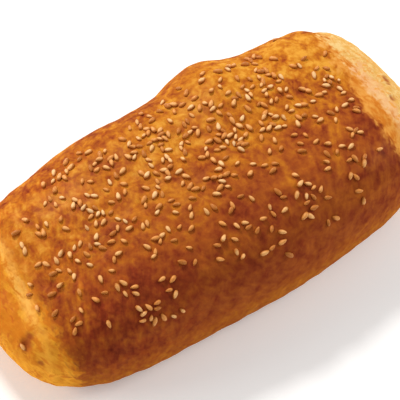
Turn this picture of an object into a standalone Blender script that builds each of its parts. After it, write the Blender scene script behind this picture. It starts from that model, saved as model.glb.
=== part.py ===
"""Cheese pastry: a baked, egg-washed parcel of dough with sesame seeds baked onto its crust.

It is one uncut piece. X runs along the pastry, Y across it and Z up, and the origin lies under its
middle, on the flat base that it was baked on. Lengths are in metres.
"""

import math
import random

import bmesh
import bpy
from mathutils import Matrix, Vector, noise
from mathutils.bvhtree import BVHTree

# The plain form: a rounded block, before the dough's own swellings
LENGTH = 0.1646
WIDTH = 0.0760
HEIGHT = 0.0419
WIDEST_LEVEL = 0.40 * HEIGHT
FOOT_DEPTH = 1.08 * WIDEST_LEVEL  # the foot is cut off flat where it would reach below the base

# Powers of its curves: 2 is an ellipse, and more is boxier
PLAN_POWER = 3.16
CROWN_SIDE_POWER, CROWN_RISE_POWER = 3.0, 2.3
FOOT_SIDE_POWER, FOOT_RISE_POWER = 6.0, 3.0

# Where the dough swelled in the oven: x, y, reach along x, height of the swelling
FAR_SWELLINGS = (
    (-0.068, 0.030, 0.014, 0.0041),  # left corner
    (-0.024, 0.034, 0.022, 0.0030),  # left of the middle
    (0.0232, 0.031, 0.009, 0.0049),  # the lobe just right of the middle
    (0.067, 0.030, 0.013, 0.0022),  # right corner
)
NEAR_SWELLINGS = (
    (0.011, -0.038, 0.018, 0.0035),  # middle
    (0.054, -0.038, 0.018, 0.0047),  # right
)
SWELLING_REACH = 0.014  # across the pastry
SWELLING_END_SHARE = 0.35  # how much of a swelling goes along the pastry instead of sideways and up
FAR_SWELLINGS_START, FAR_SWELLINGS_FULL = -0.15 * HEIGHT, 0.75 * HEIGHT  # they are fullest high up

# Relief of the crust
LUMP_SIZE, LUMP_HEIGHT = 0.020, 0.0006  # soft unevenness of the dough
WRINKLE_SPACING, WRINKLE_HEIGHT = 0.0105, 0.00035  # stretch marks across the two ends
WRINKLES_START = 0.050  # distance from the middle where they set in

CELLS = {"X": 28, "Y": 17, "Z": 9}  # faces of the crust along each side

# Sesame seeds
SEED_COUNT = 240
SEED_LENGTH, SEED_WIDTH, SEED_THICKNESS = 0.0028, 0.00142, 0.00125
SEED_SMALLEST, SEED_LARGEST = 0.80, 1.18  # shares of those sizes
SEED_TAPER = 0.28  # how much narrower the pointed end is
SEED_SUNK = 0.15  # the part of its thickness below the crust
SEED_TILT = math.radians(12)
SEED_GAP = 0.0016  # nearest that the middles of two seeds come
STEEPEST_FOR_SEEDS = 0.42  # upward part of the crust's normal below which they slid off
# Where none stuck: past a line at either end, leaning with y, and on the far edge
LEFT_SEED_LIMIT, LEFT_LIMIT_LEAN = -0.0700, 0.10
RIGHT_SEED_LIMIT, RIGHT_LIMIT_LEAN = 0.0605, 0.28
FARTHEST_SEED = 0.0300
STRAY_SEED = (-0.0795, -0.0114)  # one that stuck on the left end wall
SPRINKLE_DRAW = 7

# Handfuls of seeds: share, x, y, spread along x, spread along y
HANDFULS = (
    (0.190, -0.022, 0.0160, 0.022, 0.0070),  # the far half of the crown, thickest
    (0.170, 0.024, 0.0155, 0.019, 0.0075),
    (0.135, 0.018, -0.0010, 0.015, 0.0070),  # the middle
    (0.100, -0.040, -0.0030, 0.015, 0.0070),
    (0.050, -0.012, -0.0060, 0.014, 0.0070),
    (0.060, -0.062, -0.0070, 0.007, 0.0100),  # the left end
    (0.130, 0.010, -0.0280, 0.019, 0.0080),  # the near shoulder, thinly
    (0.070, 0.046, -0.0150, 0.014, 0.0110),
    (0.050, -0.042, -0.0280, 0.013, 0.0060),
)
# Pinches that stayed in a clump: share, x, y, spread along x, spread along y
PINCHES = (
    (0.012, 0.0233, -0.0258, 0.0032, 0.0026),
    (0.015, 0.0559, 0.0006, 0.0034, 0.0024),
    (0.012, -0.0529, -0.0008, 0.0030, 0.0024),
    (0.014, -0.0392, 0.0072, 0.0032, 0.0030),
    (0.012, -0.0001, -0.0123, 0.0024, 0.0026),
    (0.010, -0.0073, -0.0277, 0.0024, 0.0024),
    (0.010, -0.0433, -0.0291, 0.0030, 0.0036),
    (0.014, 0.0267, 0.0001, 0.0034, 0.0030),
    (0.024, 0.0120, 0.0035, 0.0038, 0.0032),
    (0.014, -0.0120, 0.0050, 0.0034, 0.0034),
    (0.012, 0.0340, 0.0080, 0.0032, 0.0026),
)


def superellipse(u, v, power):
    return (abs(u) ** power + abs(v) ** power) ** (1 / power)


def block_point(u, v, w):
    """Where the plain form lies in the direction of a point on the cube from -1 to 1."""
    side, rise = (CROWN_SIDE_POWER, CROWN_RISE_POWER) if w >= 0 else (FOOT_SIDE_POWER, FOOT_RISE_POWER)
    reach = 1 / superellipse(superellipse(u, v, PLAN_POWER), w, side)
    climb = (reach * abs(w)) ** (side / rise)
    if w >= 0:
        level = WIDEST_LEVEL + (HEIGHT - WIDEST_LEVEL) * climb
    else:
        level = max(WIDEST_LEVEL - FOOT_DEPTH * climb, 0.0)
    return Vector((LENGTH / 2 * u * reach, WIDTH / 2 * v * reach, level))


def smooth(value, start, end):
    """0 before start, 1 past end, and an S curve between them."""
    share = min(max((value - start) / (end - start), 0.0), 1.0)
    return share * share * (3 - 2 * share)


def outward(point):
    """The way that the dough swells at a point: sideways low down, and up on the crown."""
    along = SWELLING_END_SHARE * point.x / (LENGTH / 2)
    across = point.y / (WIDTH / 2)
    up = (max(point.z - WIDEST_LEVEL, 0.0) / (HEIGHT - WIDEST_LEVEL)) ** 1.5
    return Vector((along, across, up)).normalized()


def swelling(point, swellings):
    height = 0.0
    for x, y, reach, most in swellings:
        offset = ((point.x - x) / reach) ** 2 + ((point.y - y) / SWELLING_REACH) ** 2
        height += most * math.exp(-offset / 2)
    return height


def relief(point):
    lumps = LUMP_HEIGHT * noise.noise(point / LUMP_SIZE)
    ends = min(max((abs(point.x) - WRINKLES_START) / WRINKLE_SPACING, 0.0), 1.0)
    wave = point.x + LUMP_SIZE / 4 * noise.noise(point / LUMP_SIZE)
    return lumps + ends * WRINKLE_HEIGHT * math.sin(math.tau * wave / WRINKLE_SPACING)


def crust_point(u, v, w):
    point = block_point(u, v, w)
    far = swelling(point, FAR_SWELLINGS) * smooth(point.z, FAR_SWELLINGS_START, FAR_SWELLINGS_FULL)
    near = swelling(point, NEAR_SWELLINGS)
    rough = relief(point) * smooth(point.z, 0.0, WIDEST_LEVEL)
    return point + outward(point) * (far + near + rough)


def crust_mesh():
    """A cube cut into cells, each corner moved out to the crust, on its base and under the origin."""
    mesh = bmesh.new()
    bmesh.ops.create_cube(mesh, size=2)
    for axis, cells in enumerate(CELLS.values()):
        along = [e for e in mesh.edges if abs(e.verts[0].co[axis] - e.verts[1].co[axis]) > 1]
        bmesh.ops.subdivide_edges(mesh, edges=along, cuts=cells - 1, use_grid_fill=True)
    for corner in mesh.verts:
        corner.co = crust_point(*corner.co)
    middle_x = (min(c.co.x for c in mesh.verts) + max(c.co.x for c in mesh.verts)) / 2
    middle_y = (min(c.co.y for c in mesh.verts) + max(c.co.y for c in mesh.verts)) / 2
    bmesh.ops.translate(mesh, verts=mesh.verts, vec=(-middle_x, -middle_y, 0))
    bmesh.ops.recalc_face_normals(mesh, faces=mesh.faces)
    return mesh


def seeds_stuck(x, y):
    left = LEFT_SEED_LIMIT + y * LEFT_LIMIT_LEAN
    right = RIGHT_SEED_LIMIT + y * RIGHT_LIMIT_LEAN
    return left < x < right and y < FARTHEST_SEED


def seed_places(crust):
    """Seeded places, turns and sizes of the seeds, with the point and normal of the crust under each."""
    draw = random.Random(SPRINKLE_DRAW)
    sprinkled = HANDFULS + PINCHES
    shares = [handful[0] for handful in sprinkled]
    above = 2 * HEIGHT
    down = Vector((0, 0, -1))
    point, normal, _, _ = crust.ray_cast(Vector((*STRAY_SEED, above)), down)
    places = [(point, normal, 1.0, 1.0, 0.0)]
    while len(places) < SEED_COUNT:
        _, x, y, spread_x, spread_y = draw.choices(sprinkled, shares)[0]
        start = Vector((draw.gauss(x, spread_x), draw.gauss(y, spread_y), above))
        turn, size = draw.uniform(0, math.tau), draw.uniform(SEED_SMALLEST, SEED_LARGEST)
        tilt = draw.gauss(0, SEED_TILT)
        point, normal, _, _ = crust.ray_cast(start, down)
        if point is None or normal.z < STEEPEST_FOR_SEEDS or not seeds_stuck(point.x, point.y):
            continue
        if all((point - other[0]).length > SEED_GAP for other in places):
            places.append((point, normal, turn, size, tilt))
    return places


def seed_object(name, point, normal, turn, size, tilt):
    """One sesame seed: a flat drop that lies along the crust, a little sunk into it."""
    mesh = bmesh.new()
    bmesh.ops.create_icosphere(mesh, subdivisions=1, radius=0.5)
    for corner in mesh.verts:
        corner.co.y *= 1 - SEED_TAPER * 2 * corner.co.x
    bmesh.ops.scale(mesh, verts=mesh.verts, vec=Vector((SEED_LENGTH, SEED_WIDTH, SEED_THICKNESS)) * size)
    lift = (0.5 - SEED_SUNK) * SEED_THICKNESS * size
    on_crust = normal.to_track_quat("Z", "X").to_matrix().to_4x4()
    lying = Matrix.Rotation(turn, 4, "Z") @ Matrix.Rotation(tilt, 4, "Y")
    mesh.transform(Matrix.Translation(point + normal * lift) @ on_crust @ lying)
    return new_object(name, mesh)


def new_object(name, mesh):
    data = bpy.data.meshes.new(name)
    mesh.to_mesh(data)
    mesh.free()
    return bpy.data.objects.new(name, data)


def fuse(crust, seeds):
    """The crust and the seeds made one closed body, and the loose seeds removed."""
    union = crust.modifiers.new("seeds", "BOOLEAN")
    union.operation = "UNION"
    union.operand_type = "COLLECTION"
    union.collection = seeds
    union.solver = "EXACT"
    graph = bpy.context.evaluated_depsgraph_get()
    whole = bpy.data.meshes.new_from_object(crust.evaluated_get(graph))
    crust.modifiers.remove(union)
    crust.data = whole
    for seed in list(seeds.objects):
        bpy.data.objects.remove(seed)
    bpy.data.collections.remove(seeds)


def crust_material():
    material = bpy.data.materials.new("baked_crust")
    material.use_nodes = True
    shader = material.node_tree.nodes["Principled BSDF"]
    shader.inputs["Base Color"].default_value = (0.52, 0.20, 0.05, 1)
    shader.inputs["Roughness"].default_value = 0.35
    shader.inputs["Metallic"].default_value = 0.0
    return material


def main():
    for leftover in list(bpy.data.objects):
        bpy.data.objects.remove(leftover)

    parts = bpy.data.collections.new("cheese_pastry")
    seeds = bpy.data.collections.new("seeds_to_fuse")
    bpy.context.scene.collection.children.link(parts)
    bpy.context.scene.collection.children.link(seeds)

    mesh = crust_mesh()
    places = seed_places(BVHTree.FromBMesh(mesh))
    pastry = new_object("pastry", mesh)
    parts.objects.link(pastry)
    for number, place in enumerate(places):
        seeds.objects.link(seed_object(f"seed_{number}", *place))
    fuse(pastry, seeds)
    pastry.data.materials.clear()
    pastry.data.materials.append(crust_material())
    pastry.data.shade_smooth()
    pastry.data.set_sharp_from_angle(angle=math.radians(40))


main()
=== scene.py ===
import math
import random

import bmesh
import bpy
from mathutils import Matrix, Vector, noise
from mathutils.bvhtree import BVHTree


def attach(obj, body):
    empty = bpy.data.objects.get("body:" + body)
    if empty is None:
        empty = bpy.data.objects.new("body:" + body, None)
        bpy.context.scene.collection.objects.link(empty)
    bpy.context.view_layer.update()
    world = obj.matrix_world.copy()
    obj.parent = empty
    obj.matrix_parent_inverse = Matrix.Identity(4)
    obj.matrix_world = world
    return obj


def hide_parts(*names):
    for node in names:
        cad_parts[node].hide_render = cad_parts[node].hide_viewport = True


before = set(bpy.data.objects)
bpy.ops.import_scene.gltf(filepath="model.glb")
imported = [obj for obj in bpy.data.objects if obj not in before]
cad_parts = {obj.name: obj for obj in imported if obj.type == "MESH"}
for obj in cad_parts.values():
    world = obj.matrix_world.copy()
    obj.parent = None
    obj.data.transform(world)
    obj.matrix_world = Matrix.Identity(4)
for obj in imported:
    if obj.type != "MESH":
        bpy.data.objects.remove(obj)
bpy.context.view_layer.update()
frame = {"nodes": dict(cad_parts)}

mm = 0.001
print("frame loaded:", ", ".join(frame["nodes"]))


def smooth(value, start, end):
    share = min(max((value - start) / (end - start), 0.0), 1.0)
    return share * share * (3 - 2 * share)  # 0 before start, 1 past end


def superellipse(u, v, power):
    return (abs(u) ** power + abs(v) ** power) ** (1 / power)


def pieceFrom(name, mesh, material):
    # a finished bmesh becomes a piece at the origin that stands for the pastry's solid
    data = bpy.data.meshes.new(name)
    mesh.to_mesh(data)
    mesh.free()
    data.shade_smooth()
    data.materials.append(material)
    piece = bpy.data.objects.new(name, data)
    bpy.context.scene.collection.objects.link(piece)
    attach(piece, "root")
    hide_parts("pastry")
    print(name, "has", len(data.polygons), "faces")


class Wire:  # one output of a material's nodes, on which + - * add Math nodes
    def __init__(self, tree, socket=None):
        self.tree, self.socket = tree, socket

    def node(self, kind, settings, values, output=0):
        made = self.tree.nodes.new("ShaderNode" + kind)
        for name, value in settings.items():
            if name == "stops":
                self.setStops(made.color_ramp, value)
            else:
                setattr(made, name, value)
        for name, value in values.items():
            if isinstance(value, Wire):
                self.tree.links.new(value.socket, made.inputs[name])
            else:
                made.inputs[name].default_value = value
        return Wire(self.tree, made.outputs[output])

    def setStops(self, ramp, stops):
        while len(ramp.elements) < len(stops):
            ramp.elements.new(1.0)
        for element, (place, colour) in zip(ramp.elements, stops):
            element.position = place
            element.color = (*colour, 1)

    def maths(self, operation, first, second):
        return self.node("Math", {"operation": operation}, {0: first, 1: second})

    def __add__(self, other):
        return self.maths("ADD", self, other)

    def __sub__(self, other):
        return self.maths("SUBTRACT", self, other)

    def __rsub__(self, other):
        return self.maths("SUBTRACT", other, self)

    def __mul__(self, other):
        return self.maths("MULTIPLY", self, other)

    __radd__ = __add__
    __rmul__ = __mul__

    def size(self):
        return self.maths("ABSOLUTE", self, 0)

    def atLeast(self, least):
        return self.maths("MAXIMUM", self, least)

    def step(self, start, end):  # 0 before start, 1 past end, smooth between
        settings = {"interpolation_type": "SMOOTHSTEP"}
        return self.node("MapRange", settings, {0: self, 1: start, 2: end, 3: 0.0, 4: 1.0})

    def axes(self, place):
        split = self.node("SeparateXYZ", {}, {0: place})
        return [Wire(self.tree, split.socket.node.outputs[axis]) for axis in range(3)]

    def frameAt(self, place, at, turned, sizes):  # places counted in sizes from a turned frame of their own
        values = {"Vector": place, "Location": at, "Rotation": (0, 0, math.radians(turned)), "Scale": sizes}
        return self.node("Mapping", {"vector_type": "TEXTURE"}, values)

    def grain(self, place, across, detail=3.0, rough=0.55, twist=0.0, stretch=(1, 1, 1), turned=0, shift=0):
        # soft noise about 0.5 with spots of a given size, longer where stretched
        sizes = [across * amount for amount in stretch]
        moved = self.frameAt(place, (shift,) * 3, turned, sizes)
        values = {"Vector": moved, "Scale": 1.0, "Detail": detail, "Roughness": rough, "Distortion": twist}
        return self.node("TexNoise", {}, values)

    def spot(self, place, x, y, long, wide, turned):  # 1 at a place seen from above, 0 well away from it
        full, none = 0.2, 1.4  # how far off, in sizes of the spot
        inside = self.frameAt(place, (x, y, 0), turned, (long, wide, 1))
        away = self.node("VectorMath", {"operation": "LENGTH"}, {0: inside}, output=1)
        return 1 - away.step(full, none)

    def distance(self, place, spot):
        return self.node("VectorMath", {"operation": "DISTANCE"}, {0: place, 1: spot}, output=1)

    def wander(self, place, across, reach):  # the place pushed about, so that borders run unevenly
        push = self.node("TexNoise", {}, {"Vector": place, "Scale": 1 / across, "Detail": 2.0}, output=1)
        push = self.node("VectorMath", {"operation": "SUBTRACT"}, {0: push, 1: (0.5, 0.5, 0.5)})
        push = self.node("VectorMath", {"operation": "SCALE"}, {0: push, "Scale": reach})
        return self.node("VectorMath", {"operation": "ADD"}, {0: place, 1: push})

    def mix(self, first, second, share, blend="MIX"):
        settings = {"data_type": "RGBA", "blend_type": blend}
        first, second = [c if isinstance(c, Wire) else (*c, 1) for c in (first, second)]
        return self.node("Mix", settings, {0: share, 6: first, 7: second}, output=2)


def newMaterial(name):
    material = bpy.data.materials.new(name)
    material.use_nodes = True
    start = Wire(material.node_tree)
    place = start.node("TexCoord", {}, {}, output=3)  # Object coordinates
    return material, material.node_tree.nodes["Principled BSDF"], start, place


def plug(shader, values):
    for name, value in values.items():
        if isinstance(value, Wire):
            value.tree.links.new(value.socket, shader.inputs[name])
        else:
            shader.inputs[name].default_value = value


# the camera, at the photograph's viewing angle
view = {
    "azimuth": 37.58,  # degrees clockwise from +Y, the way the camera looks
    "elevation": 57.0,
    "distance": 0.650,
    "aimHeight": 0.020,
    "pixelsPerRadian": 1950,
    "imageSide": 400,
    "aimPixel": (200.94, 200.23),
    "sensor": 36.0,
}
turn, lift = math.radians(view["azimuth"]), math.radians(view["elevation"])
ahead = Vector((math.sin(turn), math.cos(turn), 0))
toRight = Vector((math.cos(turn), -math.sin(turn), 0))
looking = ahead * math.cos(lift) - Vector((0, 0, math.sin(lift)))
cameraData = bpy.data.cameras.new("camera")
cameraData.sensor_width = view["sensor"]
cameraData.lens = view["sensor"] * view["pixelsPerRadian"] / view["imageSide"]
cameraData.shift_x = (view["imageSide"] / 2 - view["aimPixel"][0]) / view["imageSide"]
cameraData.shift_y = (view["aimPixel"][1] - view["imageSide"] / 2) / view["imageSide"]
camera = bpy.data.objects.new("camera", cameraData)
camera.location = Vector((0, 0, view["aimHeight"])) - looking * view["distance"]
camera.rotation_euler = looking.to_track_quat("-Z", "Y").to_euler()
bpy.context.scene.collection.objects.link(camera)
bpy.context.scene.camera = camera
print("camera placed")


crust = {
    "length": 0.1646,
    "width": 0.0760,
    "height": 0.0419,
    "widest": 0.40,  # level where the plan is widest, as a share of the height
    "foot": 1.08,  # depth of the lower half before the base cuts it flat, as a share of that level
    "planPower": 3.16,
    "crownPowers": (3.0, 2.3),  # sideways and upward, 2 would be an ellipse
    "footPowers": (6.0, 3.0),
    # swellings: x, y, reach along x, height
    "far": (
        (-0.068, 0.030, 0.014, 0.0041),
        (-0.024, 0.034, 0.022, 0.0030),
        (0.0232, 0.031, 0.009, 0.0049),
        (0.067, 0.030, 0.013, 0.0022),
    ),
    "near": (
        (0.011, -0.038, 0.018, 0.0035),
        (0.054, -0.038, 0.018, 0.0047),
    ),
    "farGrows": (-0.15, 0.75),  # levels between which the far ones set in, as shares of the height
    "swellingReach": 0.014,  # along y
    "endShare": 0.35,  # how far they push the end walls out, next to the sides
    "upPower": 1.5,  # above 1 they push the crown up less
    "lumps": (0.020, 0.0006),  # size and height
    "wrinkles": (0.0105, 0.00035, 0.050),  # spacing, height, distance from the middle where they set in
    "wrinklesSwing": 0.25,  # as a share of a lump's size
    # width, length, height, where they set in, over how far
    "stretchMarks": (0.0021, 0.009, 0.00026, 0.040, 0.020),
    "marksBend": (0.012, 2.5),  # over what length, by how many widths
    "marksDip": -0.2,  # they stand up more than they dip, as a share of the height
    "marksShare": (0.15, 0.85),  # in the middle, and added at the ends
    "pebbles": ((0.0060, 0.00030), (0.0028, 0.00014)),  # size and height
    "roughEnds": (0.0019, 0.00016, 0.060, 0.010),  # size, height, where they set in, over how far
    # a low fold down the near part of the left end: x, lean with y, width, height, start and run in y
    "fold": (-0.0710, 0.23, 0.0015, 0.00045, -0.002, 0.010),
    "fineFrom": 0.003,  # level where the fine relief is full, above a smooth foot
    # small pits on the end walls: x, y, z, radius, depth
    "pits": (
        (-0.0790, -0.0124, 0.0245, 0.0017, 0.0012),
        (-0.0778, -0.0184, 0.0218, 0.0012, 0.0007),
        (0.0755, -0.0048, 0.0300, 0.0013, 0.0009),
        (0.0745, -0.0068, 0.0300, 0.0009, 0.0006),
        (0.0715, -0.0130, 0.0320, 0.0013, 0.0009),
    ),
    "cells": (212, 116, 60),  # along x, y and z
}
crust["widestLevel"] = crust["widest"] * crust["height"]


def blockPoint(u, v, w):
    # the plain rounded block, in the direction of a point on the cube from -1 to 1
    side, rise = crust["crownPowers"] if w >= 0 else crust["footPowers"]
    reach = 1 / superellipse(superellipse(u, v, crust["planPower"]), w, side)
    climb = (reach * abs(w)) ** (side / rise)
    level = crust["widestLevel"]
    if w >= 0:
        level += (crust["height"] - level) * climb
    else:
        level = max(level - crust["foot"] * level * climb, 0.0)
    return Vector((crust["length"] / 2 * u * reach, crust["width"] / 2 * v * reach, level))


def outward(point):
    along = crust["endShare"] * point.x / (crust["length"] / 2)
    across = point.y / (crust["width"] / 2)
    up = max(point.z - crust["widestLevel"], 0.0) / (crust["height"] - crust["widestLevel"])
    return Vector((along, across, up ** crust["upPower"])).normalized()


def swelling(point, swellings):
    height = 0.0
    for x, y, reach, most in swellings:
        offset = ((point.x - x) / reach) ** 2 + ((point.y - y) / crust["swellingReach"]) ** 2
        height += most * math.exp(-offset / 2)
    return height


def relief(point):
    size, height = crust["lumps"]
    soft = noise.noise(point / size)
    spacing, deep, start = crust["wrinkles"]
    ends = min(max((abs(point.x) - start) / spacing, 0.0), 1.0)
    wave = point.x + size * crust["wrinklesSwing"] * soft
    return height * soft + ends * deep * math.sin(math.tau * wave / spacing)


def stretchMarks(point):
    thin, long, height, start, run = crust["stretchMarks"]
    bendLength, widths = crust["marksBend"]
    bend = noise.noise(point / bendLength) * widths
    overEdge = abs(point.x) - point.z  # grows along the crown and on down the end walls
    marks = noise.noise(Vector((overEdge / thin + bend, point.y / long, point.x / long)))
    inMiddle, atEnds = crust["marksShare"]
    share = inMiddle + atEnds * smooth(abs(point.x), start, start + run)
    return height * max(marks, crust["marksDip"]) * share


def foldHeight(point):
    at, lean, width, height, start, run = crust["fold"]
    away = (point.x - at - point.y * lean) / width
    return height * math.exp(-away * away) * smooth(-point.y, -start, -start + run)


def fineRelief(point):
    rise = stretchMarks(point) + foldHeight(point)
    for size, deep in crust["pebbles"]:
        rise += deep * noise.noise(point / size)
    size, deep, start, run = crust["roughEnds"]
    return rise + deep * noise.noise(point / size) * smooth(abs(point.x), start, start + run)


def pitDepth(point):
    depth = 0.0
    for x, y, z, radius, deep in crust["pits"]:
        away = (point - Vector((x, y, z))).length / radius
        if away < 3:  # farther off it is too shallow to count
            depth += deep * math.exp(-away * away)
    return depth


def crustPoint(u, v, w):
    point = blockPoint(u, v, w)
    low, high = [share * crust["height"] for share in crust["farGrows"]]
    far = swelling(point, crust["far"]) * smooth(point.z, low, high)
    near = swelling(point, crust["near"])
    aboveBase = smooth(point.z, 0.0, crust["widestLevel"])
    rough = relief(point) * aboveBase + fineRelief(point) * smooth(point.z, 0.0, crust["fineFrom"])
    return point + outward(point) * (far + near + rough - pitDepth(point))


def crustMesh():
    mesh = bmesh.new()
    bmesh.ops.create_cube(mesh, size=2)
    for axis, cells in enumerate(crust["cells"]):
        along = [e for e in mesh.edges if abs(e.verts[0].co[axis] - e.verts[1].co[axis]) > 1]
        bmesh.ops.subdivide_edges(mesh, edges=along, cuts=cells - 1, use_grid_fill=True)
    for corner in mesh.verts:
        corner.co = crustPoint(*corner.co)
    low = [min(corner.co[axis] for corner in mesh.verts) for axis in (0, 1)]
    high = [max(corner.co[axis] for corner in mesh.verts) for axis in (0, 1)]
    middle = Vector(((low[0] + high[0]) / 2, (low[1] + high[1]) / 2, 0))
    bmesh.ops.translate(mesh, verts=mesh.verts, vec=-middle)
    bmesh.ops.recalc_face_normals(mesh, faces=mesh.faces)
    return mesh


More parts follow.
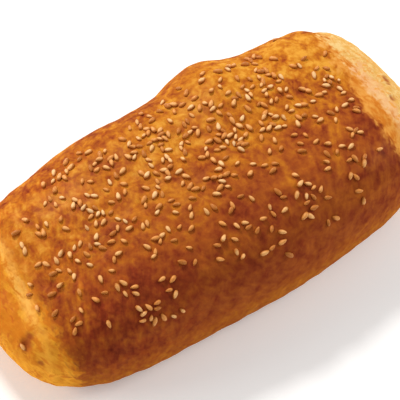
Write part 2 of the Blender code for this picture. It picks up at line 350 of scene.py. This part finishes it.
# how light or dark the crust is baked, from 0, darkest, to 1, palest gold
bake = {
    "stops": (
        (0.00, (0.140, 0.018, 0.008)),
        (0.21, (0.260, 0.044, 0.012)),
        (0.31, (0.322, 0.068, 0.013)),
        (0.44, (0.405, 0.098, 0.014)),
        (0.55, (0.472, 0.137, 0.014)),
        (0.65, (0.554, 0.172, 0.015)),
        (0.77, (0.622, 0.228, 0.020)),
        (1.00, (0.760, 0.345, 0.042)),
    ),
    "near": 0.31,  # the near shoulder was hotter than the far half
    "far": 0.615,
    "across": (-30 * mm, 12 * mm),  # where it passes from one to the other
    "sides": 0.55,  # the sides low down, that stayed lighter
    "sidesFrom": (9 * mm, 24 * mm),  # levels where they begin and end
    "sidesWander": 12 * mm,
    "walls": (12 * mm, 32 * mm),  # levels where the calmer colour of the walls ends
    "toneNoise": {"clouds": 1, "blotches": 0.4, "mottle": 0.9},
    "toneStrength": (0.55, 0.60, 0.45),  # on the near half, added on the far half, taken off its walls
    "broadStrength": (0.20, 0.15),  # on the near half, and added on the far half
    "brushedStrength": (0.12, 0.40),  # in the middle, and added towards the ends
    "brushedFrom": (22 * mm, 50 * mm),
    "base": 0.34,
    "baseNoise": {"clouds": 0.4, "mottle": 0.3},
    "under": (0.3 * mm, 1.6 * mm),  # levels where the base's own tone ends
    "redder": (1.0, 0.82, 0.90),  # shade towards the left end, above a level
    "redderFrom": (-60 * mm, 0),
    "redderShare": (0.5, 2.2),  # by place, and by the noise of hues
    "redderAbove": (6 * mm, 22 * mm),
    "footContactShadow": (0.62, 0.72, 1.15),  # painted contact shadow along the foot, with the browner edge where it met the tray
    "footContactShadowTo": (1.0 * mm, 5.0 * mm),
    # how its borders wander: over what length, and how far
    "looseBorders": (6 * mm, 9 * mm),
    "closeBorders": (3 * mm, 2 * mm),
    # noises that its colours share
    "noises": {
        "broad": {"across": 15 * mm, "detail": 2, "twist": 0.4},
        "clouds": {"across": 6.5 * mm, "twist": 0.7, "shift": 0.3},
        "mottle": {"across": 3.0 * mm, "rough": 0.6, "twist": 0.5, "shift": 0.4},
        "hue": {"across": 4.0 * mm, "rough": 0.6, "twist": 0.8, "shift": 0.9},
        "speckles": {"across": 1.9 * mm, "detail": 2, "rough": 0.5, "twist": 0.2, "shift": 0.1},
        "brushed": {
            "across": 1.7 * mm, "detail": 2, "twist": 0.3, "stretch": (5, 1, 2), "turned": 58, "shift": 0.5,
        },
    },
    "wallSpeckles": 0.5,  # how much weaker the speckles are on the walls
    # and those that run along the crown and on down the end walls
    "edgeNoises": {
        "blotches": {
            "across": 2.3 * mm, "detail": 1.5, "twist": 0.2, "stretch": (1, 1.2, 1.2), "shift": 0.2,
        },
        "streaks": {"across": 2.6 * mm, "detail": 2, "twist": 0.4, "stretch": (1, 3, 3), "shift": 0.6},
    },
    # patches: x, y, length, width, turn in degrees, lighter or darker
    "patches": (
        (54 * mm, -14 * mm, 16 * mm, 5 * mm, 90, -0.10),
        (33 * mm, -12 * mm, 10 * mm, 4 * mm, 90, -0.05),
        (4 * mm, -19 * mm, 10 * mm, 7 * mm, 0, -0.06),
        (-45 * mm, -25 * mm, 17 * mm, 8 * mm, 0, -0.10),
        (-26 * mm, -26 * mm, 6 * mm, 5 * mm, 0, -0.08),
        (-66 * mm, -12 * mm, 14 * mm, 5 * mm, 90, -0.14),
        (-3 * mm, -3 * mm, 5 * mm, 3 * mm, 10, -0.20),
        (45 * mm, 5 * mm, 5 * mm, 4 * mm, 0, -0.16),
        (16 * mm, 20 * mm, 16 * mm, 7 * mm, 0, 0.12),
        (54 * mm, 24 * mm, 12 * mm, 8 * mm, 0, 0.18),
        (-62 * mm, 16 * mm, 6 * mm, 7 * mm, 0, 0.10),
        (-8 * mm, 18 * mm, 13 * mm, 8 * mm, 0, 0.12),
        (-9 * mm, -14 * mm, 9 * mm, 5 * mm, 90, 0.12),
        (-8 * mm, -28 * mm, 5 * mm, 5 * mm, 0, 0.12),
        (22 * mm, -3 * mm, 12 * mm, 5 * mm, 0, 0.08),
        (29 * mm, 20 * mm, 15 * mm, 7 * mm, 0, 0.17),
        (58 * mm, 11 * mm, 7 * mm, 10 * mm, 0, 0.18),
        (-31 * mm, 7 * mm, 11 * mm, 6 * mm, 0, 0.13),
        (21 * mm, 5 * mm, 7 * mm, 4 * mm, 0, 0.08),
        (41 * mm, 12 * mm, 8 * mm, 6 * mm, 0, 0.15),
        (-61 * mm, 2 * mm, 5 * mm, 6 * mm, 0, 0.22),
        (33 * mm, -32 * mm, 11 * mm, 6 * mm, 0, 0.10),
        (-20 * mm, -9 * mm, 5 * mm, 6 * mm, 0, 0.13),
        (39 * mm, -4 * mm, 5 * mm, 10 * mm, 0, 0.07),
        (-30 * mm, -12 * mm, 5 * mm, 4 * mm, 0, -0.10),
        (50 * mm, -2 * mm, 5 * mm, 5 * mm, 0, -0.15),
        (-40 * mm, 18 * mm, 6 * mm, 4 * mm, 0, -0.13),
        (-50 * mm, 30 * mm, 6 * mm, 4 * mm, 0, -0.10),
        (-24 * mm, 33 * mm, 46 * mm, 8 * mm, 0, -0.13),
        (32 * mm, 26 * mm, 12 * mm, 5 * mm, 0, 0.15),
        (60 * mm, 0 * mm, 6 * mm, 5 * mm, 0, 0.16),
        (2 * mm, 7 * mm, 12 * mm, 4 * mm, 0, 0.09),
    ),
    # brush strokes of egg wash: the same numbers
    "strokes": (
        (-65 * mm, -16 * mm, 6 * mm, 1.0 * mm, 62, 0.34),
        (-57 * mm, -12 * mm, 7 * mm, 1.2 * mm, 50, 0.26),
        (-61 * mm, -21 * mm, 5 * mm, 0.9 * mm, 60, 0.12),
        (39 * mm, -21 * mm, 9 * mm, 1.3 * mm, 62, 0.24),
        (20 * mm, -20 * mm, 11 * mm, 1.4 * mm, 76, 0.20),
        (47 * mm, -11 * mm, 8 * mm, 1.2 * mm, 66, 0.20),
    ),
    # the left end, which turns golden; some shares have noises that vary them
    "left": {
        "line": (-65.4 * mm, -70.6 * mm, 0.105),  # where it starts and is full, and how far it leans with y
        "ragged": {"clouds": 9 * mm, "blotches": 9 * mm, "brushed": 4.5 * mm},
        "orange": (0.70, 0.205, 0.014),
        "gold": (0.89, 0.370, 0.028),
        "goldNoise": {"streaks": 1, "clouds": 1, "blotches": 1.3},
        "goldFrom": (-0.30, 0.22),
        "rim": (-71.0 * mm, 0.23),  # its palest line, and how far that leans
        "rimWander": 5 * mm,
        "outside": (2.5 * mm, 5 * mm),  # how far outside the palest line the end wall begins
        "topAbove": (20 * mm, 25 * mm),  # high on the end wall it is orange again
        "topShare": (0.7, {"blotches": 1.8}),
        "foot": (0.98, 0.43, 0.035),
        "footBelow": (17 * mm, 24 * mm),
        "footShare": (0.6, {"blotches": 1.6}),
        "cream": (0.97, 0.48, 0.095),  # along the palest line
        "creamWidth": (0.3 * mm, 3.0 * mm),
        "creamFrom": (-26 * mm, -2 * mm),
        "creamShare": (0.75, {"blotches": 1.6}),
        "fleckNoise": {"mottle": 1.6, "clouds": 1},  # orange flecks all over
        "fleckFrom": (0.0, 0.28),
        "fleckShare": 0.9,
        "wallAbove": (14 * mm, 20 * mm),  # above this level the fold and the rust show
        "fold": (0.97, 0.43, 0.040),
        "foldWander": 3 * mm,
        "foldWidth": (0, 2.2 * mm),
        "foldFrom": (-27 * mm, -20 * mm),
        "foldTo": (-16 * mm, -8 * mm),
        "foldShare": (0.55, {"mottle": 2}),
        "rust": (0.60, 0.135, 0.016),
        "rustNoise": {"blotches": 1, "clouds": 0.8},
        "rustFrom": (0.06, 0.22),
        "rustShare": 0.7,
    },
    # and the right end, which goes through orange to cream
    "right": {
        "line": (59.8 * mm, 63.2 * mm, 0.28),
        "bend": -14 * mm,  # nearer than this the line and the rim run straight across
        "raggedNoise": {"clouds": 1, "blotches": 1},
        "ragged": (5 * mm, 6 * mm),  # on the near side, and added on the far side
        "raggedFrom": (-12 * mm, 2 * mm),
        "orange": (0.62, 0.190, 0.020),
        "amber": (0.76, 0.33, 0.060),
        "amberNoise": {"clouds": 1, "blotches": 1.3},
        "amberFrom": (-0.24, 0.24),
        "rim": (64.4 * mm, 68.2 * mm, 0.12),
        "gold": (0.73, 0.39, 0.092),
        "cream": (0.82, 0.55, 0.215),
        "creamNoise": {"speckles": 1.6, "clouds": 1, "blotches": 1},
        "creamFrom": (-0.30, 0.26),
        "pink": (0.81, 0.43, 0.21),  # just past the rim, on the near half
        "pinkTo": (69 * mm, 73 * mm),
        "pinkNear": (2 * mm, 9 * mm),
        "pinkShare": (0.7, {"mottle": 1.6}),
        "fleckNoise": {"mottle": 1.5, "speckles": 1.2},  # amber flecks all over
        "fleckFrom": (0.04, 0.28),
        "fleckShare": 0.9,
        "fading": 10 * mm,  # low on the corners the rim is wider
        "fadingBelow": (24 * mm, 34 * mm),
        "fadingFrom": (8 * mm, 24 * mm),
    },
    # bubbles that burst on the end walls, browner, with painted shade where they left pits: x, y, z, radius
    "shadedBubbles": (
        (-78.6 * mm, -12.0 * mm, 25.0 * mm, 2.9 * mm),
        (-77.8 * mm, -18.4 * mm, 21.8 * mm, 1.6 * mm),
        (-76.6 * mm, -11.2 * mm, 27.6 * mm, 1.8 * mm),
        (75.5 * mm, -4.8 * mm, 30.0 * mm, 1.7 * mm),
        (74.5 * mm, -6.8 * mm, 30.0 * mm, 1.2 * mm),
        (71.5 * mm, -13.0 * mm, 32.0 * mm, 1.7 * mm),
    ),
    # the painted shade in a burst bubble's pit, over its browner crust
    "bubbleShade": (0.36, 0.072, 0.016),
    "bubbleShadeEdge": (0.3, 1.3),  # how far from the middle it fades, in radii
    "bubbleShadeClear": 0.15,  # how much of the crust's own colour shows in its middle
    "roughness": (0.60, {"mottle": 0.25}),
    "eggWash": (0.07, {"clouds": 0.14}),
    "eggWashRoughness": 0.42,
    "pebbling": {"across": 1.0 * mm, "shift": 0.7},
    "pebblingHeight": 0.15 * mm,
    "pebblingStrength": 0.5,
    "pebblingAtEnds": 0.9,  # how much more of it the ends have
}


class Surface:  # where a point of the crust lies, and the noises about 0 that its colours share
    def __init__(self, start, place):
        self.loose = start.wander(place, *bake["looseBorders"])
        self.close = start.wander(place, *bake["closeBorders"])
        self.looseX, self.looseY, _ = start.axes(self.loose)
        self.x, self.y, _ = start.axes(self.close)
        _, _, self.level = start.axes(place)
        overEdge = start.node("CombineXYZ", {}, {0: self.x.size() - self.level, 1: self.y, 2: self.x})
        for name, drawn in bake["noises"].items():
            setattr(self, name, start.grain(place, **drawn) - 0.5)
        for name, drawn in bake["edgeNoises"].items():
            setattr(self, name, start.grain(overEdge, **drawn) - 0.5)
        self.walls = 1 - self.level.step(*bake["walls"])
        self.speckles = self.speckles * (1 - self.walls * bake["wallSpeckles"])
        self.shown = self.level.step(*bake["under"])  # 0 on the base, 1 above it

    def summed(self, weights):  # noises added up by their weights
        first, *others = [getattr(self, name) * weight for name, weight in weights.items()]
        return sum(others, first)

    def uneven(self, share, weights):  # a share that noises vary
        return share + self.summed(weights)


def bakedColour(start, on):
    farther = on.looseY.step(*bake["across"])
    tone = bake["near"] + farther * (bake["far"] - bake["near"])
    for *patch, lighter in bake["patches"]:
        tone = tone + start.spot(on.loose, *patch) * lighter
    for *stroke, lighter in bake["strokes"]:
        tone = tone + start.spot(on.close, *stroke) * lighter
    low = 1 - (on.level + on.clouds * bake["sidesWander"]).step(*bake["sidesFrom"])
    tone = tone * (1 - low) + low * bake["sides"]
    least, more, calmer = bake["toneStrength"]
    tone = tone + on.summed(bake["toneNoise"]) * (least + farther * (more - on.walls * calmer))
    least, more = bake["broadStrength"]
    tone = tone + on.broad * (least + farther * more)
    least, more = bake["brushedStrength"]
    tone = tone + on.brushed * (least + on.looseX.size().step(*bake["brushedFrom"]) * more)
    baseTone = bake["base"] + on.summed(bake["baseNoise"])
    tone = tone * on.shown + baseTone * (1 - on.shown)
    colour = start.node("ValToRGB", {"stops": bake["stops"]}, {0: tone})
    byPlace, byHue = bake["redderShare"]
    redder = ((1 - on.looseX.step(*bake["redderFrom"])) * byPlace + on.hue * byHue).step(0.0, 1.0)
    return start.mix(colour, bake["redder"], redder * on.level.step(*bake["redderAbove"]), "MULTIPLY")


def withLeftEnd(start, on, colour):
    left = bake["left"]
    begins, full, lean = left["line"]
    share = (on.x - on.y * lean + on.summed(left["ragged"])).step(begins, full)
    rim, lean = left["rim"]
    beyond = on.x - on.y * lean - rim + on.streaks * left["rimWander"]  # 0 on the palest line, less outside
    outside = (beyond * -1).step(*left["outside"])
    golden = start.mix(left["orange"], left["gold"], on.summed(left["goldNoise"]).step(*left["goldFrom"]))
    top = outside * on.level.step(*left["topAbove"])
    golden = start.mix(golden, left["orange"], top * on.uneven(*left["topShare"]))
    foot = 1 - on.level.step(*left["footBelow"])
    golden = start.mix(golden, left["foot"], foot * on.uneven(*left["footShare"]))
    cream = (1 - beyond.size().step(*left["creamWidth"])) * on.y.step(*left["creamFrom"])
    golden = start.mix(golden, left["cream"], cream * on.uneven(*left["creamShare"]))
    flecks = on.summed(left["fleckNoise"]).step(*left["fleckFrom"])
    golden = start.mix(golden, left["orange"], flecks * left["fleckShare"])
    wall = on.level.step(*left["wallAbove"])
    folded = 1 - (beyond + on.streaks * left["foldWander"]).size().step(*left["foldWidth"])
    folded = folded * on.y.step(*left["foldFrom"]) * (1 - on.y.step(*left["foldTo"])) * wall
    golden = start.mix(golden, left["fold"], folded * on.uneven(*left["foldShare"]))
    rusty = on.summed(left["rustNoise"]).step(*left["rustFrom"]) * outside * wall
    golden = start.mix(golden, left["rust"], rusty * left["rustShare"])
    return start.mix(colour, golden, share * on.shown), share


def withRightEnd(start, on, colour):
    right = bake["right"]
    least, more = right["ragged"]
    ragged = on.summed(right["raggedNoise"]) * (least + on.y.step(*right["raggedFrom"]) * more)
    across = on.y.atLeast(right["bend"])
    begins, full, lean = right["line"]
    share = (on.x - across * lean + ragged).step(begins, full)
    amber = on.summed(right["amberNoise"]).step(*right["amberFrom"])
    colour = start.mix(colour, start.mix(right["orange"], right["amber"], amber), share * on.shown)
    begins, full, lean = right["rim"]
    onRim = on.x - across * lean + ragged
    cream = on.summed(right["creamNoise"]).step(*right["creamFrom"])
    creamy = start.mix(right["gold"], right["cream"], cream)
    pinkish = (1 - onRim.step(*right["pinkTo"])) * (1 - on.y.step(*right["pinkNear"]))
    creamy = start.mix(creamy, right["pink"], pinkish * on.uneven(*right["pinkShare"]))
    flecks = on.summed(right["fleckNoise"]).step(*right["fleckFrom"])
    creamy = start.mix(creamy, right["amber"], flecks * right["fleckShare"])
    corners = (1 - on.level.step(*right["fadingBelow"])) * on.y.size().step(*right["fadingFrom"])
    past = onRim.step(begins, full + corners * right["fading"])
    return start.mix(colour, creamy, past * on.shown), share


def crustMaterial():
    material, shader, start, place = newMaterial("bakedCrust")
    on = Surface(start, place)
    colour = bakedColour(start, on)
    colour, leftEnd = withLeftEnd(start, on, colour)
    colour, rightEnd = withRightEnd(start, on, colour)
    least = bake["bubbleShadeClear"]
    # painted shade darkens each burst bubble and its pit
    for *spot, radius in bake["shadedBubbles"]:
        clear = start.distance(on.close, spot).step(*[share * radius for share in bake["bubbleShadeEdge"]])
        colour = start.mix(bake["bubbleShade"], colour, least + clear * (1 - least))
    # painted contact shadow: the colour darkened and greyed low down at the foot
    foot = 1 - on.level.step(*bake["footContactShadowTo"])
    colour = start.mix(colour, bake["footContactShadow"], foot, "MULTIPLY")
    pebbling = start.grain(place, **bake["pebbling"]) * (1 + (leftEnd + rightEnd) * bake["pebblingAtEnds"])
    plug(shader, {
        "Base Color": colour,
        "Roughness": on.uneven(*bake["roughness"]),
        "Coat Weight": on.uneven(*bake["eggWash"]),
        "Coat Roughness": bake["eggWashRoughness"],
        "Normal": start.node("Bump", {}, {
            "Strength": bake["pebblingStrength"],
            "Distance": bake["pebblingHeight"],
            "Height": pebbling,
        }),
        "Specular IOR Level": 0.0,
    })
    return material


crustShape = crustMesh()
crustTree = BVHTree.FromBMesh(crustShape)
pieceFrom("crust", crustShape, crustMaterial())


seeds = {
    "count": 450,
    "length": 0.0028,
    "width": 0.00142,
    "thickness": 0.00125,
    "sizes": (0.80, 1.18),
    "taper": 0.28,
    "sunk": 0.15,
    "skirt": 0.00020,  # how far the egg wash runs up against each seed
    "skirtRings": (-0.49, -0.10),  # corners that make it, by their height on a ball 1 across
    "skirtLevel": 0.04 * mm,  # and how high above the crust they lie
    "glazeAndShadeFrom": (-0.47, -0.12),  # the egg wash and painted shade on a seed, from its top down, on the same ball
    "tilt": 12.0,  # degrees
    "gap": 0.0016,
    "steepest": 0.42,
    # where none stuck: past a line at either end, leaning with y, and on the far edge
    "ends": ((-0.0700, 0.10), (0.0605, 0.28)),
    "farthest": 0.0300,
    "stray": (-0.0795, -0.0114),  # the one in a burst bubble
    "draw": 7,
    "sides": (8, 6),
    # handfuls: share, x, y, spread along x, spread along y
    "handfuls": (
        (0.190, -0.022, 0.0160, 0.022, 0.0070),  # the far half of the crown
        (0.170, 0.024, 0.0155, 0.019, 0.0075),
        (0.135, 0.018, -0.0010, 0.015, 0.0070),  # the middle
        (0.100, -0.040, -0.0030, 0.015, 0.0070),
        (0.050, -0.012, -0.0060, 0.014, 0.0070),
        (0.060, -0.062, -0.0070, 0.007, 0.0100),  # the left end
        (0.130, 0.010, -0.0280, 0.019, 0.0080),  # the near shoulder, thinly
        (0.070, 0.046, -0.0150, 0.014, 0.0110),
        (0.050, -0.042, -0.0280, 0.013, 0.0060),
        (0.012, 0.0233, -0.0258, 0.0032, 0.0026),  # from here on, pinches that stayed in a clump
        (0.015, 0.0559, 0.0006, 0.0034, 0.0024),
        (0.012, -0.0529, -0.0008, 0.0030, 0.0024),
        (0.014, -0.0392, 0.0072, 0.0032, 0.0030),
        (0.012, -0.0001, -0.0123, 0.0024, 0.0026),
        (0.010, -0.0073, -0.0277, 0.0024, 0.0024),
        (0.010, -0.0433, -0.0291, 0.0030, 0.0036),
        (0.014, 0.0267, 0.0001, 0.0034, 0.0030),
        (0.024, 0.0120, 0.0035, 0.0038, 0.0032),
        (0.014, -0.0120, 0.0050, 0.0034, 0.0034),
        (0.012, 0.0340, 0.0080, 0.0032, 0.0026),
    ),
    "pinch": (0.004, 0.4),  # spread below which it is one, and how much less egg wash its seeds took
    # colours, from the palest seed to one that the egg wash covered
    "colours": (
        (0.00, (0.95, 0.60, 0.28)),
        (0.30, (0.92, 0.48, 0.17)),
        (0.70, (0.80, 0.31, 0.065)),
        (1.00, (0.52, 0.160, 0.022)),
    ),
    # places where they are darker, near, far and left: axis, where it begins and is full, how much
    "darker": (
        (1, -4 * mm, -24 * mm, 0.20),
        (1, 12 * mm, 20 * mm, 0.08),
        (0, -40 * mm, -62 * mm, 0.16),
    ),
    "glazedAndShaded": (0.54, 0.180, 0.026),  # where the egg wash covers the edge, which goes from 0 to 1, and painted shade darkens the seed's sides
    "glazedAndShadedFrom": (0.1, 1.0),
    "pooledAndShaded": (0.42, 0.115, 0.014),  # and where it stands about the seed, darker as pooled egg wash and as painted shade at the seed's foot
    "pooledAndShadedFrom": (1.0, 1.8),
    "pool": 2.0,  # the edge's value there
    "flecks": {"across": 0.9 * mm, "detail": 2},
    "flecksOnTop": 0.5,
    "flecksOnEdge": 0.6,
    "roughness": (0.42, 0.1),  # and how much the flecks add
    "specular": 0.4,
    "specularTint": (1.0, 0.88, 0.72, 1),
}


def settled(x, y):
    (left, leftLean), (right, rightLean) = seeds["ends"]
    return left + y * leftLean < x < right + y * rightLean and y < seeds["farthest"]


def seedPlaces():
    draw = random.Random(seeds["draw"])
    shares = [handful[0] for handful in seeds["handfuls"]]
    pinchSpread, pinchToast = seeds["pinch"]
    down = Vector((0, 0, -1))
    point, normal, _, _ = crustTree.ray_cast(Vector((*seeds["stray"], 2 * crust["height"])), down)
    places = [(1.0, point, normal, 1.0, 1.0, 0.0)]
    while len(places) < seeds["count"]:
        _, x, y, spreadX, spreadY = draw.choices(seeds["handfuls"], shares)[0]
        above = Vector((draw.gauss(x, spreadX), draw.gauss(y, spreadY), 2 * crust["height"]))
        turned, size = draw.uniform(0, math.tau), draw.uniform(*seeds["sizes"])
        tilted = draw.gauss(0, math.radians(seeds["tilt"]))
        point, normal, _, _ = crustTree.ray_cast(above, down)
        if point is None or normal.z < seeds["steepest"] or not settled(point.x, point.y):
            continue
        if all((point - other[1]).length > seeds["gap"] for other in places):
            most = pinchToast if spreadX < pinchSpread else 1.0
            places.append((most, point, normal, turned, size, tilted))
    return places


def addSeed(mesh, layers, toast, point, normal, turned, size, tilted):
    around, up = seeds["sides"]
    made = bmesh.ops.create_uvsphere(mesh, u_segments=around, v_segments=up, radius=0.5)["verts"]
    bmesh.ops.rotate(mesh, verts=made, cent=(0, 0, 0), matrix=Matrix.Rotation(math.pi / 2, 3, "Y"))
    lift = (0.5 - seeds["sunk"]) * seeds["thickness"] * size
    lowest, highest = seeds["skirtRings"]
    skirt = [corner for corner in made if lowest < corner.co.z < highest]
    for corner in made:
        corner[layers["toast"]] = toast
        corner[layers["edge"]] = smooth(-corner.co.z, *seeds["glazeAndShadeFrom"])  # 0 on top, 1 half way down, where egg wash and painted shade darken the sides
        corner.co.y *= 1 - seeds["taper"] * 2 * corner.co.x
    across = Vector((seeds["length"], seeds["width"], seeds["thickness"])) * size
    bmesh.ops.scale(mesh, verts=made, vec=across)
    # the skirt takes the pooled egg wash and the painted shade at the seed's foot
    for corner in skirt:
        corner[layers["edge"]] = seeds["pool"]
        flat = corner.co.xy.normalized() * seeds["skirt"]
        corner.co = (corner.co.x + flat.x, corner.co.y + flat.y, seeds["skirtLevel"] - lift)
    onCrust = Matrix.Translation(point + normal * lift)
    upright = normal.to_track_quat("Z", "X").to_matrix().to_4x4()
    lying = Matrix.Rotation(turned, 4, "Z") @ Matrix.Rotation(tilted, 4, "Y")
    bmesh.ops.transform(mesh, verts=made, matrix=onCrust @ upright @ lying)


def seedMesh():
    draw = random.Random(seeds["draw"] + 1)
    mesh = bmesh.new()
    layers = {name: mesh.verts.layers.float.new(name) for name in ("toast", "edge")}
    for most, *place in seedPlaces():
        addSeed(mesh, layers, draw.random() * most, *place)
    bmesh.ops.recalc_face_normals(mesh, faces=mesh.faces)
    return mesh


def seedMaterial():
    material, shader, start, place = newMaterial("sesameSeed")
    toast = start.node("Attribute", {"attribute_name": "toast"}, {}, output=2)
    edge = start.node("Attribute", {"attribute_name": "edge"}, {}, output=2)
    axes = start.axes(place)
    for axis, begins, full, darker in seeds["darker"]:
        toast = toast + axes[axis].step(begins, full) * darker
    grain = start.grain(place, **seeds["flecks"])
    flecks = grain - 0.5  # about 0
    toast = toast + flecks * seeds["flecksOnTop"]
    colour = start.node("ValToRGB", {"stops": seeds["colours"]}, {0: toast})
    # the sides darker than the top, by egg wash and by painted shade
    glazedAndShaded = edge + flecks * seeds["flecksOnEdge"]
    colour = start.mix(colour, seeds["glazedAndShaded"], glazedAndShaded.step(*seeds["glazedAndShadedFrom"]))
    # painted shade with pooled egg wash on the skirt round each seed's foot
    colour = start.mix(colour, seeds["pooledAndShaded"], edge.step(*seeds["pooledAndShadedFrom"]))
    least, more = seeds["roughness"]
    plug(shader, {
        "Base Color": colour,
        "Roughness": least + grain * more,
        "Specular IOR Level": seeds["specular"],
        "Specular Tint": seeds["specularTint"],
    })
    return material


pieceFrom("sesameSeeds", seedMesh(), seedMaterial())


studio = {
    "floorSide": 3.0,
    "floorColour": (0.92, 0.92, 0.915),
    "floorClouds": (0.90, 0.90, 0.895),
    "cloudSize": 0.25,
    "floorRoughness": 0.8,
    "floorSpecular": 0.1,
    "floorGlow": 0.22,  # a light table, which keeps the shadow soft and pale
    "ambient": 0.38,
    # lights: name, place as right, ahead, up of the aim, size, watts, colour
    "lights": (
        ("keyLight", (-0.34, 0.56, 0.75), 0.18, 6.6, (1.0, 0.98, 0.95)),
        ("rightLight", (0.52, 0.10, 0.30), 0.22, 1.20, (1.0, 0.98, 0.95)),
        ("leftLight", (-0.52, -0.08, 0.26), 0.26, 0.93, (1.0, 0.97, 0.92)),
    ),
}


def floorMaterial():
    material, shader, start, place = newMaterial("paleFloor")
    cloud = start.grain(place, studio["cloudSize"], detail=2)
    plug(shader, {
        "Base Color": start.mix(studio["floorColour"], studio["floorClouds"], cloud),
        "Roughness": studio["floorRoughness"],
        "Specular IOR Level": studio["floorSpecular"],
        "Emission Color": (1, 1, 1, 1),
        "Emission Strength": studio["floorGlow"],
    })
    return material


def floorPiece():
    mesh = bmesh.new()
    bmesh.ops.create_grid(mesh, x_segments=1, y_segments=1, size=studio["floorSide"] / 2)
    data = bpy.data.meshes.new("floor")
    mesh.to_mesh(data)
    mesh.free()
    data.materials.append(floorMaterial())
    floor = bpy.data.objects.new("floor", data)
    bpy.context.scene.collection.objects.link(floor)


def studioLights():
    aim = Vector((0, 0, view["aimHeight"]))
    for name, (side, back, up), size, watts, colour in studio["lights"]:
        data = bpy.data.lights.new(name, "AREA")
        data.shape = "DISK"
        data.size = size
        data.energy = watts
        data.color = colour
        light = bpy.data.objects.new(name, data)
        light.location = aim + toRight * side + ahead * back + Vector((0, 0, up))
        light.rotation_euler = (aim - light.location).to_track_quat("-Z", "Y").to_euler()
        bpy.context.scene.collection.objects.link(light)
    world = bpy.data.worlds.new("studio")
    bpy.context.scene.world = world
    world.use_nodes = True
    world.node_tree.nodes["Background"].inputs["Color"].default_value = (1, 1, 1, 1)
    world.node_tree.nodes["Background"].inputs["Strength"].default_value = studio["ambient"]


floorPiece()
studioLights()
bpy.context.scene.view_settings.view_transform = "Standard"
print("floor and lights placed")
